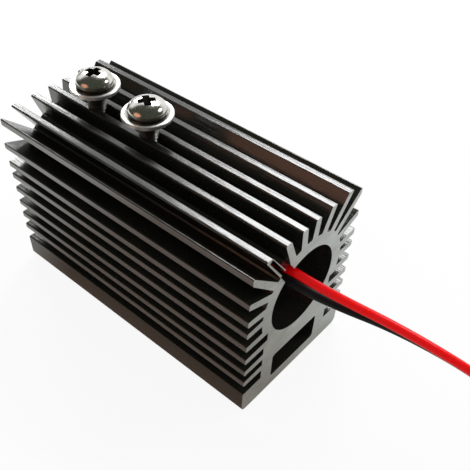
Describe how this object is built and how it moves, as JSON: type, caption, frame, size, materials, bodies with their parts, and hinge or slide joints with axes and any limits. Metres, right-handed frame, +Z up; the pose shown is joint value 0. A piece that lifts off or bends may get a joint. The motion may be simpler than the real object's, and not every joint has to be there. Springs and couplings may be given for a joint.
{
  "type": "laser diode module",
  "caption": "Barrel laser diode module held by clamp screws in a finned extruded heat sink, with free supply leads.",
  "frame": {"origin": "centre of the heat sink's foot, on the surface that it stands on", "axes": "+Y towards the beam end along the extrusion, the leads leave at -Y, +X across, +Z up to the screws"},
  "size_m": [0.029, 0.1143, 0.0354],
  "materials": {
    "black_anodised": "black anodised extrusion, sawn ends bare",
    "zinc_plated": "bright zinc plated",
    "turned_brass": "turned",
    "blackened_brass": "chemically blackened",
    "lens_glass": "coated",
    "gold_plated": "gold plated",
    "can_metal": "nickel plated",
    "chip": "bare die",
    "board": "green solder resist",
    "black_epoxy": "moulded epoxy",
    "chip_parts": "fired ceramic with tinned ends",
    "trimmer_blue": "moulded",
    "solder": "tinned",
    "red_jacket": "soft lead insulation",
    "black_jacket": "soft lead insulation",
    "tie_plastic": "moulded"
  },
  "bodies": {
    "root": {"heat_sink": "black_anodised", "clamp_screws": "zinc_plated", "clamp_washers": "zinc_plated", "module_barrel": "turned_brass", "diode_sleeve": "turned_brass", "lens_cell": "turned_brass", "lens_ring": "blackened_brass", "collimating_lens": "lens_glass", "diode_header": "gold_plated", "pin_seals": "black_epoxy", "diode_pins": "gold_plated", "diode_cap": "can_metal", "diode_window": "lens_glass", "laser_chip": "chip", "monitor_chip": "chip", "driver_board": "board", "regulator_chip": "black_epoxy", "driver_transistor": "black_epoxy", "chip_capacitors": "chip_parts", "chip_resistors": "chip_parts", "trim_pot": "trimmer_blue", "trim_rotor": "zinc_plated", "solder_joints": "solder", "rear_seal": "black_epoxy", "red_core": "solder", "black_core": "solder", "red_lead": "red_jacket", "red_coil": "red_jacket", "red_tip": "solder", "black_lead": "black_jacket", "black_coil": "black_jacket", "black_tip": "solder", "coil_tie": "tie_plastic"}
  },
  "joints": []
}
